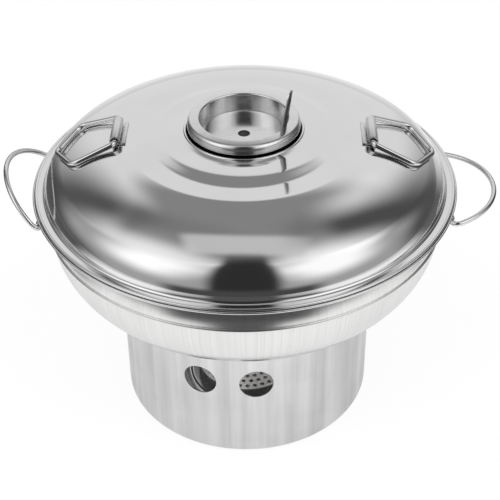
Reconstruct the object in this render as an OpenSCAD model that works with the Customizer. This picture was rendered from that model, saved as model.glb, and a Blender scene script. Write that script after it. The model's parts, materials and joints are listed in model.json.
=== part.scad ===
// Chimney hot pot: a ring-shaped bowl round a fire chimney, on a fire stand, with a lift-off lid.
// Millimetres, +Z up. The origin is the middle of the stand's underside. The side handles lie on X.

/* [Sheet and gaps] */
// Thickness of the pressed sheet
sheet = 1; // [0.6:0.1:1.4]
// Gap between pieces that lift apart or swing
gap = 0.3; // [0.2:0.05:0.5]

/* [Stand] */
// Outer diameter of the stand
stand_d = 186.4; // [176:0.2:196]
// Height of the stand
stand_h = 101.45; // [95:0.05:115]
// Outer radius of the bottom corner
stand_corner = 4; // [2.5:0.5:8]
// Diameter of the edge curled in at the top
stand_edge_d = 2.8; // [2.4:0.2:4]
// Gap between the burner and the ring pressed up in the floor
floor_ring_gap = 6; // [3:0.5:15]
// Width of the pressed ring at the floor
floor_ring_w = 6; // [5:0.5:9]
// Height of the pressed ring
floor_ring_h = 1.5; // [0.5:0.1:2]

/* [Air holes] */
// Diameter of an air hole
air_hole_d = 24.5; // [18:0.5:30]
// Height of the air holes' centres
air_hole_z = 67.7; // [55:0.1:75]
// Angle between the two air holes of a pair
air_hole_pitch = 25.3; // [22:0.1:40]
// Turn of the pairs about the pot's axis, from front and back
air_hole_turn = -8.7; // [-30:0.1:30]

/* [Burner] */
// Outer diameter of the burner's dish
burner_d = 76; // [60:1:80]
// Height of the dish
burner_h = 10; // [8:0.5:16]
// Thickness of the dish and its gauze
burner_sheet = 0.8; // [0.6:0.1:1]
// Depth of the gauze below the dish's edge
gauze_depth = 1.4; // [1.2:0.1:3]
// Width of the ledge that the gauze lies on
gauze_ledge = 1.8; // [1.4:0.1:2.5]
// Diameter of a hole in the gauze
gauze_hole_d = 3.2; // [2:0.1:3.6]
// Spacing of the rings of holes in the gauze
gauze_pitch = 5.6; // [5:0.1:8]

/* [Bowl] */
// Outer diameter over the rolled rim
rim_d = 300; // [290:1:316]
// Diameter of the rolled rim
rim_bead_d = 2; // [1.6:0.2:4]
// Height of the rolled rim's middle above the bowl's underside
rim_h = 79; // [70:0.1:92]
// How far the band tapers in from the rim to the lower curve
band_taper = 9.6; // [7:0.1:12]
// How far the neck under the rim lies inside the bead at the band's foot
neck_in = 2.6; // [1:0.1:4]
// Height of the neck above that bead
neck_h = 7.6; // [6:0.1:9]
// Bend radius of the neck
neck_bend = 4; // [3:0.5:6]
// Outer radius of the lower curve
curve_r = 57; // [48:0.5:62]
// Diameter of the bead pressed in the wall at the foot of the band
wall_bead_d = 3.2; // [2:0.2:4]
// Height of that bead above the start of the lower curve
wall_bead_h = 1.8; // [1:0.1:4]

/* [Chimney] */
// Outer diameter of the chimney's straight upper part
chimney_d = 72.1; // [66:0.1:74]
// Outer diameter at the foot of the cone
chimney_foot_d = 100; // [84:1:112]
// Height of the cone
cone_h = 89; // [70:1:100]
// Height of the chimney above the bowl's underside
chimney_h = 131.5; // [128:0.1:136]
// Width of the flange under the bowl
chimney_flange = 6; // [4:0.5:9]

/* [Lid] */
// How far the lid's hem lies inside the rim
lid_inset = 1.5; // [0.5:0.1:2.5]
// Diameter of the rolled hem
hem_d = 2.2; // [1.8:0.2:3]
// Width of the flange round the dome
flange_w = 6.6; // [5:0.1:9]
// Width of the dome, from its foot to the plateau
dome_w = 59.9; // [56:0.1:66]
// Height of the plateau above the flange
plateau_h = 36; // [32:0.1:37]
// Slope of the dome at the plateau's edge
crown_slope = 8.5; // [5:0.5:12]
// Slope where the crown passes into the shoulder
shoulder_slope = 30; // [25:1:36]
// Slope at the foot of the dome
foot_slope = 80; // [75:1:85]
// Width of the plateau, up to the foot of the step
plateau_w = 15; // [12:0.1:18]
// Inward run of the step
step_run = 8; // [6:0.1:9]
// Height of the step
step_h = 2.3; // [1.5:0.1:3]
// Gap between the chimney hole and the cap
lid_hole_gap = 2.4; // [2:0.1:4]
// Diameter of the rolled lip of the hole
lip_d = 2.2; // [1.8:0.2:3]
// Inward run of the flare that carries the lip
flare_run = 4; // [3:0.1:5]
// Height of the flare
flare_h = 2.2; // [1.5:0.1:3]

/* [Cap] */
// Width of the rolled rim over the chimney's edge
cap_roll = 4.9; // [4.4:0.1:5.4]
// Depth of the cup below the top of the rim
cap_depth = 14.6; // [11:0.1:17]
// Height of the skirt below the middle of the rolled rim
skirt_h = 10.3; // [6:0.1:12]
// Thickness of the cap and its tab
cap_sheet = 0.8; // [0.6:0.1:1]
// Diameter of the vent hole
vent_d = 8.5; // [5:0.5:14]

/* [Cap tab] */
// Place of the tab round the cap, from +X
tab_turn = -32.5; // [-60:0.5:0]
// Width of the tab at its foot
tab_foot_w = 9; // [7:0.5:10]
// Width of the tab at its tip
tab_tip_w = 4.5; // [3.5:0.5:6]
// Length of the tab above the cap's rim
tab_l = 31; // [22:0.5:33]
// Outward lean of the tab
tab_lean = 10.5; // [4:0.5:11]

/* [Lid handles] */
// Diameter of the lid handles' wire
lid_wire_d = 3.8; // [3:0.1:4.2]
// Distance of the hinges outside the plateau's edge
hinge_out = 6.5; // [4:0.5:10]
// Inner diameter of the rolled strap
strap_bore_d = 5.2; // [4.8:0.1:6]
// Length of the rolled strap
strap_l = 28; // [22:0.5:32]
// Reach of the strap's foot past the barrel
strap_foot = 3; // [2:0.5:5]
// Thickness of the strap's foot at the barrel
strap_foot_t = 1.4; // [1:0.1:2]
// Reach of the handle from its hinge
drop_reach = 47.4; // [40:0.2:48]
// Half width of the handle at its corners
drop_half_w = 25.4; // [22:0.2:28]
// Length of the point of the handle
drop_point = 15.8; // [12:0.2:20]
// Bend radius at the corners
corner_bend = 5; // [4:0.5:8]
// Bend radius beside the strap
hinge_bend = 3.5; // [2.5:0.5:5]
// Turn of the lid with its handles about the pot's axis
lid_turn = -1.5; // [-15:0.5:15]

/* [Side handles] */
// Diameter of the side handles' wire
side_wire_d = 3.4; // [3:0.1:4]
// How far the pivots lie inside the rim
pivot_inset = 7.5; // [6:0.1:8]
// Depth of the pivots below the rolled rim's middle
pivot_drop = 9.8; // [8:0.1:11]
// Reach of a handle from its pivots
side_reach = 35.6; // [30:0.2:42]
// Half width of a handle
side_half_w = 44.3; // [42:0.1:50]
// Bend radius beside the pivots
pivot_bend = 4; // [3:0.5:6]
// Bend radius at the shoulders of a handle
side_shoulder = 8; // [6:0.5:12]
// Length of the straight end in a lug
stub_l = 5; // [4:0.5:7]
// Length of a lug along its eye
lug_l = 4; // [3:0.1:4.2]
// Clearance of the wire in a lug
lug_gap = 0.2; // [0.15:0.05:0.4]
// Distance of a lug's foot above the bead in the wall
lug_foot_rise = 1.05; // [0.5:0.05:3]
// How far the left handle stands raised
left_raise = 45; // [-20:0.5:60]
// How far the right handle stands raised
right_raise = 4.5; // [-20:0.5:60]

/* [Hidden] */
$fn = 96;
// Amount by which a cutting shape passes through
over = 1;
// Gap under a piece that is welded on
weld_gap = 0.1;
// Steps on a round stretch of an outline, on a bead and on a bend of wire
arc_steps = 18;
bead_steps = 24;
bend_steps = 6;
// Sides of a bent wire
wire_sides = 16;
// Steps of a circle that trims a small piece
trim_steps = 360;

// Points on an arc round c, from angle a0 to a1
function arc(c, r, a0, a1, n = arc_steps) =
    [for (i = [0:n]) let (a = a0 + (a1 - a0) * i / n) c + r * [cos(a), sin(a)]];
// Points on the arc of a dome round c, between two slopes of its surface
function sloped_arc(c, r, slope0, slope1) =
    [for (i = [0:arc_steps]) let (a = slope0 + (slope1 - slope0) * i / arc_steps) c + r * [sin(a), cos(a)]];
function unit(v) = v / norm(v);
// Normal on the right of the step that leaves or reaches a point of an outline
function right_of(d) = [d[1], -d[0]];
function step_normal(path, i) = right_of(unit(path[i + 1] - path[i]));
function corner_normal(path, i) =
    let (last = len(path) - 1)
    let (a = step_normal(path, max(i - 1, 0)))
    let (b = step_normal(path, min(i, last - 1)))
    (a + b) / (1 + a * b);
// The outline moved sideways by t, to the right where t is positive
function beside(path, t) = [for (i = [0:len(path) - 1]) path[i] + t * corner_normal(path, i)];
function backwards(path) = [for (i = [len(path) - 1:-1:0]) path[i]];
function tail(path) = [for (i = [1:len(path) - 1]) path[i]];
// The section of a sheet: an outline and the same outline one thickness to the right
function sheet_section(path, t) = concat(path, backwards(beside(path, t)));
// The same, begun by a bead round c: its arc runs from the inside of the sheet at a_in to the outside at a_out
function beaded_section(path, inner_path, t, c, r, a_in, a_out) =
    concat(path, backwards(tail(beside(inner_path, t))), arc(c, r, a_in, a_out, bead_steps));
// An arc in place of a corner that turns clockwise
function rounded(p, c, q, bend) =
    let (into = unit(c - p))
    let (turn = acos(into * unit(q - c)))
    let (middle = c - into * bend * tan(turn / 2) + right_of(into) * bend)
    let (start = atan2(into[0], -into[1]))
    arc(middle, bend, start, start - turn, bend_steps);
// A run of points with its inner corners rounded
function rounded_run(points, bends) =
    let (last = len(points) - 1)
    [
        points[0],
        for (i = [1:last - 1]) each rounded(points[i - 1], points[i], points[i + 1], bends[i - 1]),
        points[last],
    ];

// Stand: outline of its outside, from the curled edge to the middle of the floor
stand_ro = stand_d / 2;
edge_r = stand_edge_d / 2;
edge_c = [stand_ro - edge_r, stand_h - edge_r];
burner_r = burner_d / 2;
ring_half = floor_ring_w / 2;
ring_r = burner_r + floor_ring_gap + ring_half;
edge_in = -acos((edge_r - sheet) / edge_r);
stand_path = concat(
    [[stand_ro, edge_c[1]]],
    arc([stand_ro - stand_corner, stand_corner], stand_corner, 0, -90, bend_steps),
    [
        [ring_r + ring_half, 0],
        [ring_r + ring_half - floor_ring_h, floor_ring_h],
        [ring_r - ring_half + floor_ring_h, floor_ring_h],
        [ring_r - ring_half, 0],
        [0, 0],
    ]
);

// Burner: outline of the dish's outside, standing on the stand's floor
dish_top = sheet + burner_h;
gauze_z = dish_top - gauze_depth;
dish_wall_r = burner_r - gauze_ledge;
dish_corner = 2;
dish_path = concat(
    [
        [burner_r, dish_top],
        [burner_r, gauze_z - burner_sheet],
        [dish_wall_r, gauze_z - 2 * burner_sheet],
    ],
    arc([dish_wall_r - dish_corner, sheet + dish_corner], dish_corner, 0, -90, bend_steps),
    [[0, sheet]]
);
gauze_r = burner_r - burner_sheet - gap;
gauze_rings = floor((gauze_r - gauze_hole_d) / gauze_pitch);
holes_per_ring = 6;

// Bowl: it rests with its lower curve on the stand's curled edge
rim_r = rim_d / 2;
curve_start_r = rim_r - band_taper;
curve_c_r = curve_start_r - curve_r;
seat_reach = edge_c[0] - curve_c_r;
curve_c = [curve_c_r, edge_c[1] + sqrt(pow(curve_r + edge_r + gap, 2) - seat_reach * seat_reach)];
bowl_base_z = curve_c[1] - curve_r;
rim_z = bowl_base_z + rim_h;
rim_bead_r = rim_bead_d / 2;
rim_c = [rim_r - rim_bead_r, rim_z];
// Places on the rim's bead where the outside and the inside of the band meet it
rim_out = -120;
rim_in = 190;
band_top = rim_c + rim_bead_r * [cos(rim_out), sin(rim_out)];
band_foot = [curve_start_r, curve_c[1] + wall_bead_h];
chimney_foot_r = chimney_foot_d / 2;
curve_path = concat(arc(curve_c, curve_r, 0, -90), [[chimney_foot_r, bowl_base_z]]);
wall_bead_r = wall_bead_d / 2;
wall_bead_c = (band_foot + curve_path[0]) / 2;
// Places on that bead where the band and the lower curve meet it
wall_bead_from = 75;
wall_bead_to = -85;
wall_bead = arc(wall_bead_c, wall_bead_r, wall_bead_from, wall_bead_to, bend_steps);
band_end = wall_bead[0];
// The band runs in from that bead to the neck, then flares out to the rim
neck = band_end + [-neck_in, neck_h];
neck_path = backwards(rounded(band_end, neck, band_top, neck_bend));
bowl_outside = concat([band_top], neck_path, wall_bead, tail(curve_path));
bowl_inside = concat([band_top], neck_path, [band_foot], curve_path);
// Outer radius of the band at height z
function band_r(z) = lookup(z, [[band_end[1], band_end[0]], [neck[1], neck[0]], [band_top[1], band_top[0]]]);

// Chimney: cone and straight top, outline of its outside
chimney_r = chimney_d / 2;
chimney_top_z = bowl_base_z + chimney_h;
cone_top_z = bowl_base_z + cone_h;
chimney_path = [
    [chimney_foot_r + chimney_flange, bowl_base_z],
    [chimney_foot_r - gap, bowl_base_z],
    [chimney_r, cone_top_z],
    [chimney_r, chimney_top_z],
];

// The cap's rolled rim sits over the chimney's edge, and the lid's hole clears the cap
roll_r = cap_roll / 2;
cap_ro = chimney_r - sheet / 2 + roll_r;

// Lid: outline of its outside, from the hem to the chimney hole
hem_r = hem_d / 2;
hem_c_r = rim_r - lid_inset - hem_r;
hem_reach = rim_bead_r + gap + hem_r;
hem_c = [hem_c_r, rim_z + sqrt(pow(hem_reach, 2) - pow(hem_c_r - rim_c[0], 2))];
flange_z = hem_c[1] + sheet / 2;
plateau_z = flange_z + plateau_h;
lid_top_z = plateau_z + step_h;
dome_foot_r = rim_r - lid_inset - flange_w;
plateau_r = dome_foot_r - dome_w;
step_foot_r = plateau_r - plateau_w;
// Radii of the crown and the shoulder that join the plateau's edge to the foot at the given slopes
sin_a = sin(shoulder_slope) - sin(crown_slope);
sin_b = sin(foot_slope) - sin(shoulder_slope);
cos_a = cos(crown_slope) - cos(shoulder_slope);
cos_b = cos(shoulder_slope) - cos(foot_slope);
dome_det = sin_a * cos_b - sin_b * cos_a;
crown_r = (dome_w * cos_b - plateau_h * sin_b) / dome_det;
shoulder_r = (sin_a * plateau_h - cos_a * dome_w) / dome_det;
crown_c = [plateau_r, plateau_z] - crown_r * [sin(crown_slope), cos(crown_slope)];
shoulder_c = crown_c + (crown_r - shoulder_r) * [sin(shoulder_slope), cos(shoulder_slope)];
shoulder_start_r = shoulder_c[0] + shoulder_r * sin(shoulder_slope);
lip_r = lip_d / 2;
lip_c = [cap_ro + lid_hole_gap + lip_r, lid_top_z + flare_h - sheet / 2];
lid_path = concat(
    [[hem_c[0], flange_z], [dome_foot_r, flange_z]],
    tail(sloped_arc(shoulder_c, shoulder_r, foot_slope, shoulder_slope)),
    tail(sloped_arc(crown_c, crown_r, shoulder_slope, crown_slope)),
    [
        [step_foot_r, plateau_z],
        [step_foot_r - step_run, lid_top_z],
        [lip_c[0] + flare_run, lid_top_z],
        [lip_c[0], lid_top_z + flare_h],
    ]
);
// Slope of the lid's outside at radius r, from the plateau outwards
function lid_slope(r) =
    r <= plateau_r || r >= dome_foot_r ? 0
    : r <= shoulder_start_r ? asin((r - crown_c[0]) / crown_r)
    : asin((r - shoulder_c[0]) / shoulder_r);
// Height of the lid's outside at radius r, from the plateau outwards
function lid_z(r) =
    r <= plateau_r ? plateau_z
    : r >= dome_foot_r ? flange_z
    : r <= shoulder_start_r ? crown_c[1] + crown_r * cos(lid_slope(r))
    : shoulder_c[1] + shoulder_r * cos(lid_slope(r));

// Lid handles: hinge line, outline of the wire and the angle at which it lies on the dome
lid_wire_r = lid_wire_d / 2;
strap_bore_r = strap_bore_d / 2;
strap_r = strap_bore_r + sheet;
hinge_r = plateau_r + hinge_out;
hinge_z = lid_z(hinge_r) + strap_r / cos(lid_slope(hinge_r));
drop_end = strap_l / 2 + gap;
// Half the turn of the wire beside the strap, at most
exit_half_turn = 40;
drop_exit = drop_end + hinge_bend * tan(exit_half_turn);
drop_corner = drop_reach - drop_point;
drop_points = [
    [0, strap_l / 4],
    [0, drop_exit],
    [drop_corner, drop_half_w],
    [drop_reach, 0],
    [drop_corner, -drop_half_w],
    [0, -drop_exit],
    [0, -strap_l / 4],
];
drop_path = rounded_run(drop_points, [hinge_bend, corner_bend, corner_bend, corner_bend, hinge_bend]);
// Angle below level at which the point p of the handle lies clear of the dome
function lie_angle(p, a, n) =
    n <= 0 ? a
    : let (r = norm([hinge_r + p[0] * cos(a), p[1]]))
      let (z = lid_z(r) + (lid_wire_r + gap) / cos(lid_slope(r)))
      lie_angle(p, asin(max(min((hinge_z - z) / p[0], 1), -1)), n - 1);
lie_guess = 20;
lie_rounds = 12;
// The handle's points near its hinge lie clear by themselves
drop_far = [for (p = drop_path) if (p[0] > drop_reach / 3) p];
drop_lie = min([for (p = drop_far) lie_angle(p, lie_guess, lie_rounds)]);

// Cap: outline of its outside, from the skirt's edge over the rolled rim to the middle of the cup
roll_c = [chimney_r - sheet / 2, chimney_top_z + gap - roll_r + cap_sheet];
cap_top_z = roll_c[1] + roll_r;
cup_r = roll_c[0] - roll_r;
cup_floor_z = cap_top_z - cap_depth;
cap_path = concat(
    [[cap_ro, roll_c[1] - skirt_h]],
    arc(roll_c, roll_r, 0, 180),
    [[cup_r, cup_floor_z], [0, cup_floor_z]]
);
// Tab: a foot on the cup's wall and a blade that leans out
tab_bend_z = cap_top_z;
tab_foot_r = cup_r - weld_gap;
tab_foot_z = cup_floor_z + weld_gap;
tab_foot_angle = 2 * asin(tab_foot_w / 2 / tab_foot_r);
tab_blade_r = tab_foot_r * cos(tab_foot_angle / 2) - cap_sheet;
tab_round = tab_tip_w / 2;

// Side handles and lugs
side_wire_r = side_wire_d / 2;
pivot_x = rim_r - pivot_inset;
pivot_z = rim_z - pivot_drop;
lug_bore_r = side_wire_r + lug_gap;
lug_r = lug_bore_r + sheet;
lug_foot = pivot_z - sheet - band_end[1] - lug_foot_rise;
stub_start = side_half_w - pivot_bend - stub_l;
lug_y = stub_start + stub_l - gap - lug_l / 2;
// Radius of the outer sweep that meets both shoulders of a handle
sweep_rise = side_reach - pivot_bend;
sweep_r = (sweep_rise * sweep_rise + pow(side_half_w - side_shoulder, 2) - side_shoulder * side_shoulder)
    / (2 * (sweep_rise - side_shoulder));
sweep_c = [side_reach - sweep_r, 0];
shoulder_at = [pivot_bend, side_half_w - side_shoulder];
sweep_half = atan2(shoulder_at[1], shoulder_at[0] - sweep_c[0]);
side_half_path = concat(
    [[0, stub_start + stub_l / 2]],
    arc([pivot_bend, side_half_w - pivot_bend], pivot_bend, 180, 90, bend_steps),
    tail(arc(shoulder_at, side_shoulder, 90, sweep_half, bend_steps)),
    tail(arc(sweep_c, sweep_r, sweep_half, 0, arc_steps / 2))
);
side_path = concat(side_half_path, tail(backwards([for (p = side_half_path) [p[0], -p[1]]])));

steel = [0.8, 0.8, 0.81];
dull_steel = [0.66, 0.66, 0.67];

// A straight wire along Y on the hinge line, from y0 to y1
module axis_wire(y0, y1, r) {
    translate([0, y0, 0]) rotate([-90, 0, 0]) cylinder(h = y1 - y0, r = r, $fn = 48);
}

// A bent wire in the XY plane, just thinner than the straight wire that it leaves
module bent_wire(path, r) {
    thinner = 0.02;
    last = len(path) - 1;
    rings = [
        for (i = [0:last], k = [0:wire_sides - 1])
            let (a = 360 * k / wire_sides)
            let (p = path[i] + corner_normal(path, i) * (r - thinner) * cos(a))
            [p[0], p[1], (r - thinner) * sin(a)],
    ];
    sides = [
        for (i = [0:last - 1], k = [0:wire_sides - 1], half = [0, 1])
            let (next = (k + 1) % wire_sides)
            let (here = i * wire_sides)
            let (there = here + wire_sides)
            half == 0 ? [here + k, there + next, there + k] : [here + k, here + next, there + next],
    ];
    first_end = [for (k = [wire_sides - 1:-1:0]) k];
    last_end = [for (k = [0:wire_sides - 1]) last * wire_sides + k];
    polyhedron(points = rings, faces = concat(sides, [first_end, last_end]));
}

// Everything inside the bowl's outer surface, for trimming what is fixed to it
module bowl_body() {
    rotate_extrude($fn = trim_steps) polygon(concat([[0, band_top[1]]], bowl_outside, [[0, bowl_base_z]]));
}

// Everything under the lid's outer surface, for trimming what is fixed to it
module lid_body() {
    lid_foot_z = flange_z - sheet;
    rotate_extrude($fn = trim_steps)
        polygon(concat(lid_path, [[0, lid_top_z], [0, lid_foot_z], [hem_c[0], lid_foot_z]]));
}

module stand_shell() color(steel) difference() {
    rotate_extrude() polygon(beaded_section(stand_path, stand_path, sheet, edge_c, edge_r, edge_in, -360));
    for (side = [0, 180], half = [-0.5, 0.5])
        rotate([0, 0, side - 90 + air_hole_turn + half * air_hole_pitch])
            translate([stand_ro / 2, 0, air_hole_z]) rotate([0, 90, 0]) cylinder(h = stand_ro, d = air_hole_d);
}

module burner_dish() color(dull_steel) rotate_extrude() polygon(sheet_section(dish_path, burner_sheet));

module burner_gauze() color(dull_steel) difference() {
    translate([0, 0, gauze_z]) cylinder(h = burner_sheet, r = gauze_r);
    for (ring = [0:gauze_rings], i = [0:max(ring * holes_per_ring - 1, 0)])
        rotate([0, 0, i * 360 / max(ring * holes_per_ring, 1)])
            translate([ring * gauze_pitch, 0, gauze_z - over])
                cylinder(h = burner_sheet + 2 * over, d = gauze_hole_d, $fn = 24);
}

module pot_bowl() color(steel) rotate_extrude()
    polygon(beaded_section(bowl_outside, bowl_inside, sheet, rim_c, rim_bead_r, rim_in, rim_out));

module chimney_tube() color(dull_steel) rotate_extrude() polygon(sheet_section(chimney_path, -sheet));

// A strap eye in the XZ plane round a pivot, with a foot on the band; side is 1 for right and -1 for left
module lug(side, y) color(steel) difference() {
    flip = side < 0 ? 1 : 0;
    band_x = sqrt(pow(band_r(pivot_z), 2) - y * y) - pivot_x;
    foot_z = pivot_z - sheet - lug_foot;
    foot_x = sqrt(pow(band_r(foot_z), 2) - y * y) - pivot_x;
    mirror([flip, 0, 0]) translate([pivot_x, y, pivot_z]) rotate([90, 0, 0])
        linear_extrude(height = lug_l, center = true) difference() {
            union() {
                circle(r = lug_r, $fn = 48);
                polygon([
                    [0, sheet],
                    [band_x - lug_foot, sheet],
                    [foot_x - lug_foot, -sheet - lug_foot],
                    [foot_x + sheet, -sheet - lug_foot],
                    [band_x + sheet, -sheet],
                    [0, -sheet],
                ]);
            }
            circle(r = lug_bore_r, $fn = 48);
        }
    bowl_body();
}

module left_front_lug() lug(-1, -lug_y);
module left_rear_lug() lug(-1, lug_y);
module right_front_lug() lug(1, -lug_y);
module right_rear_lug() lug(1, lug_y);

// A side handle lying level, its pivots on the Y axis and its sweep towards +X
module side_wire() {
    bent_wire(side_path, side_wire_r);
    axis_wire(stub_start, stub_start + stub_l, side_wire_r);
    axis_wire(-stub_start - stub_l, -stub_start, side_wire_r);
}

module left_side_handle() color(steel)
    mirror([1, 0, 0]) translate([pivot_x, 0, pivot_z]) rotate([0, -left_raise, 0]) side_wire();
module right_side_handle() color(steel)
    translate([pivot_x, 0, pivot_z]) rotate([0, -right_raise, 0]) side_wire();

module lid_shell() color(steel) rotate_extrude() {
    polygon(sheet_section(lid_path, -sheet));
    translate(hem_c) circle(r = hem_r, $fn = 32);
    translate(lip_c) circle(r = lip_r, $fn = 32);
}

// A strap rolled round the hinge line, its foot on the lid towards the middle
module lid_strap() difference() {
    translate([hinge_r, 0, hinge_z]) rotate([90, 0, 0])
        linear_extrude(height = strap_l, center = true) difference() {
            union() {
                circle(r = strap_r, $fn = 48);
                translate([-strap_r - strap_foot, -strap_r - over])
                    square([strap_r + strap_foot, over + strap_foot_t]);
            }
            circle(r = strap_bore_r, $fn = 48);
        }
    lid_body();
}

module left_lid_strap() color(steel) rotate([0, 0, lid_turn]) mirror([1, 0, 0]) lid_strap();
module right_lid_strap() color(steel) rotate([0, 0, lid_turn]) lid_strap();

module drop_handle() translate([hinge_r, 0, hinge_z]) rotate([0, drop_lie, 0]) {
    bent_wire(drop_path, lid_wire_r);
    axis_wire(-drop_end, drop_end, lid_wire_r);
}

module left_lid_handle() color(steel) rotate([0, 0, lid_turn]) mirror([1, 0, 0]) drop_handle();
module right_lid_handle() color(steel) rotate([0, 0, lid_turn]) drop_handle();

module chimney_cap() color(steel) difference() {
    rotate_extrude() polygon(sheet_section(cap_path, -cap_sheet));
    translate([0, 0, cup_floor_z - cap_sheet - over]) cylinder(h = cap_sheet + 2 * over, d = vent_d);
}

// The tab's blade in the YZ plane, tapered to a round tip
module tab_blade() rotate([90, 0, 90]) linear_extrude(height = cap_sheet) {
    polygon([
        [-tab_foot_w / 2, 0],
        [tab_foot_w / 2, 0],
        [tab_round, tab_l - tab_round],
        [-tab_round, tab_l - tab_round],
    ]);
    translate([0, tab_l - tab_round]) circle(r = tab_round, $fn = 32);
}

module cap_tab() color(steel) rotate([0, 0, tab_turn]) {
    rotate([0, 0, -tab_foot_angle / 2]) rotate_extrude(angle = tab_foot_angle)
        translate([tab_foot_r - cap_sheet, tab_foot_z]) square([cap_sheet, tab_bend_z - tab_foot_z]);
    translate([tab_blade_r, 0, tab_bend_z - cap_sheet]) rotate([0, tab_lean, 0]) tab_blade();
}

stand_shell();
burner_dish();
burner_gauze();
pot_bowl();
chimney_tube();
left_front_lug();
left_rear_lug();
right_front_lug();
right_rear_lug();
left_side_handle();
right_side_handle();
lid_shell();
left_lid_strap();
right_lid_strap();
left_lid_handle();
right_lid_handle();
chimney_cap();
cap_tab();
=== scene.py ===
"""Chimney hot pot: finished metalwork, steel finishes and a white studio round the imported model."""

import json
import logging
import math
from dataclasses import dataclass
from enum import Enum

import bmesh
import bpy
from mathutils import Matrix, Vector


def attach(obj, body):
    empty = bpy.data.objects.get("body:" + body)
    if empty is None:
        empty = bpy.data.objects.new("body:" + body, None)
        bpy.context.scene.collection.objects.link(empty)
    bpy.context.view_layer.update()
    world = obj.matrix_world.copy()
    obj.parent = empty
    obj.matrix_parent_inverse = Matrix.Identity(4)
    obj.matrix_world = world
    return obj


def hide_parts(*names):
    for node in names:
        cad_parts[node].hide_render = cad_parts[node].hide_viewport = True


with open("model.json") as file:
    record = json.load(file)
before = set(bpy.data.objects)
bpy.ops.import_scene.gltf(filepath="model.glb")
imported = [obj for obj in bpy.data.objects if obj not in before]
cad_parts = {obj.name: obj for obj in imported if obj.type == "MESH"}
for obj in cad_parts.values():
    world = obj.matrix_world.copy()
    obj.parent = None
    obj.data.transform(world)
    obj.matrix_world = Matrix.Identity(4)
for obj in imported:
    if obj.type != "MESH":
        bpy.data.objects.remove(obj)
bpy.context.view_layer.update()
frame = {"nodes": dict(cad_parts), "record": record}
LOG = logging.getLogger("hot_pot")

# Sizes are in millimetres and angles in degrees; meshes are in metres
MM = 0.001
SPIN_STEPS = 256
WIRE_SIDES = 24
ARC_STEP = 4.0
RUN_STEP = 2.0
SHARP_ANGLE = 42.0
SHEET = 1.0
GRAIN_SCALE = 900.0

Outline = list[Vector]


class Side(Enum):
    """The side of the pot that a handle is on, as a sign along X."""

    LEFT = -1
    RIGHT = 1

    @property
    def word(self) -> str:
        """The side's name, as the frame's nodes and bodies use it."""
        return self.name.lower()


class End(Enum):
    """The end of a side handle, as a sign along Y."""

    FRONT = -1
    REAR = 1

    @property
    def word(self) -> str:
        """The end's name, as the frame's nodes use it."""
        return self.name.lower()


def at(across: float, up: float) -> Vector:
    """A point of a flat outline, in millimetres."""
    return Vector((across, up))


def around(centre: Vector, radius: float, angle: float) -> Vector:
    """The point of a circle at an angle."""
    turn = math.radians(angle)
    return centre + radius * Vector((math.cos(turn), math.sin(turn)))


def arc(centre: Vector, radius: float, start: float, end: float, step: float = ARC_STEP) -> Outline:
    """Points on an arc.

    Args:
        centre: Middle of the arc.
        radius: Its radius.
        start: First angle.
        end: Last angle, smaller than start for a clockwise arc.
        step: Largest angle between two points.

    Returns:
        The points, both ends included.
    """
    count = max(2, math.ceil(abs(end - start) / step))
    return [around(centre, radius, start + (end - start) * i / count) for i in range(count + 1)]


def dome_arc(centre: Vector, radius: float, steep: float, flat: float) -> Outline:
    """Points on the arc of a dome, from its steeper slope to its flatter one."""
    return arc(centre, radius, 90 - steep, 90 - flat, 1.0)


def beside(path: Outline, thickness: float) -> Outline:
    """The path moved to its right by a thickness, with mitred corners."""
    headings = [(b - a).normalized() for a, b in zip(path, path[1:])]
    moved = []
    for i, point in enumerate(path):
        before = headings[max(i - 1, 0)]
        after = headings[min(i, len(headings) - 1)]
        normal = Vector((before.y + after.y, -before.x - after.x)) / (1 + before.dot(after))
        moved.append(point + thickness * normal)
    return moved


def eased(path: Outline, reach: float, least_turn: float = 6.0, steps: int = 6) -> Outline:
    """Rounds the corners of a path, as a press does.

    Args:
        path: The path with sharp corners.
        reach: Distance from a corner at which its curve begins.
        least_turn: Corners that turn less stay as they are.
        steps: Steps on each curve.

    Returns:
        The rounded path.
    """
    result = [path[0]]
    for before, corner, after in zip(path, path[1:], path[2:]):
        back = before - corner
        on = after - corner
        turn = math.degrees((-back).angle(on))
        if turn < least_turn:
            result.append(corner)
            continue
        cut = min(reach, 0.45 * back.length, 0.45 * on.length)
        start = corner + back.normalized() * cut
        end = corner + on.normalized() * cut
        for i in range(steps + 1):
            t = i / steps
            result.append((1 - t) ** 2 * start + 2 * t * (1 - t) * corner + t ** 2 * end)
    result.append(path[-1])
    return result


def dense(path: Outline, step: float = RUN_STEP) -> Outline:
    """The path with its long straight runs divided."""
    result = [path[0]]
    for a, b in zip(path, path[1:]):
        count = max(1, math.ceil((b - a).length / step))
        result.extend(a.lerp(b, i / count) for i in range(1, count + 1))
    return result


def sheet_section(path: Outline, thickness: float, ease: float) -> Outline:
    """The section of a sheet: its outside, and back along its inside, one thickness to the right."""
    inside = beside(path, thickness)
    return dense(eased(path, ease)) + dense(eased(inside, ease))[::-1]


def mesh_piece(name: str, bm: bmesh.types.BMesh, sharp: float = SHARP_ANGLE) -> bpy.types.Object:
    """Makes an object of a finished bmesh, with its place in its mesh.

    Args:
        name: Name of the piece.
        bm: The finished mesh, which is freed.
        sharp: Edges that turn more than this stay sharp.

    Returns:
        The new object, at the origin.
    """
    mesh = bpy.data.meshes.new(name)
    bm.to_mesh(mesh)
    bm.free()
    mesh.shade_smooth()
    mesh.set_sharp_from_angle(angle=math.radians(sharp))
    piece = bpy.data.objects.new(name, mesh)
    bpy.context.scene.collection.objects.link(piece)
    return piece


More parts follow.
